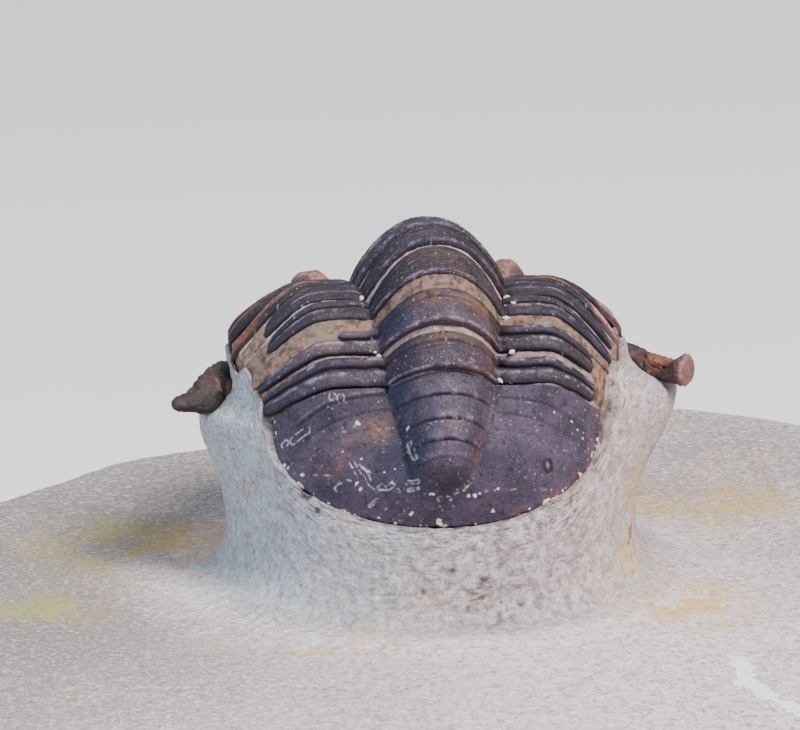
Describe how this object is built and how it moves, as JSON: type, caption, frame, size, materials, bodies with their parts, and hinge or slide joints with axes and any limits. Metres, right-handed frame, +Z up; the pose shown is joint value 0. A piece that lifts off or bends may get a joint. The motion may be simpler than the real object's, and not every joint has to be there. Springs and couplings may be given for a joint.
{
  "type": "trilobite fossil",
  "caption": "Prepared trilobite fossil, flexed into an arch on a limestone pedestal that rises from its own loose slab of matrix.",
  "frame": {"origin": "under the middle of the slab's outline, on its flat underside", "axes": "+Z up, +Y from the tail shield towards the head shield, +X to the animal's right-hand side as seen from behind"},
  "size_m": [0.0548, 0.049, 0.0282],
  "materials": {
    "limestone": "matte, fine grained, ochre stains",
    "dark_shell": "semi-gloss calcite, finely granular",
    "brown_shell": "satin calcite, granular"
  },
  "bodies": {
    "root": {"limestone_matrix": "limestone", "pygidium": "dark_shell", "thoracic_segment_01": "dark_shell", "thoracic_segment_02": "dark_shell", "thoracic_segment_03": "dark_shell", "thoracic_segment_04": "dark_shell", "thoracic_segment_05": "dark_shell", "thoracic_segment_06": "dark_shell", "thoracic_segment_07": "dark_shell", "thoracic_segment_08": "dark_shell", "thoracic_segment_09": "dark_shell", "cranidium": "dark_shell", "free_cheek_left": "brown_shell", "free_cheek_right": "brown_shell"}
  },
  "joints": []
}
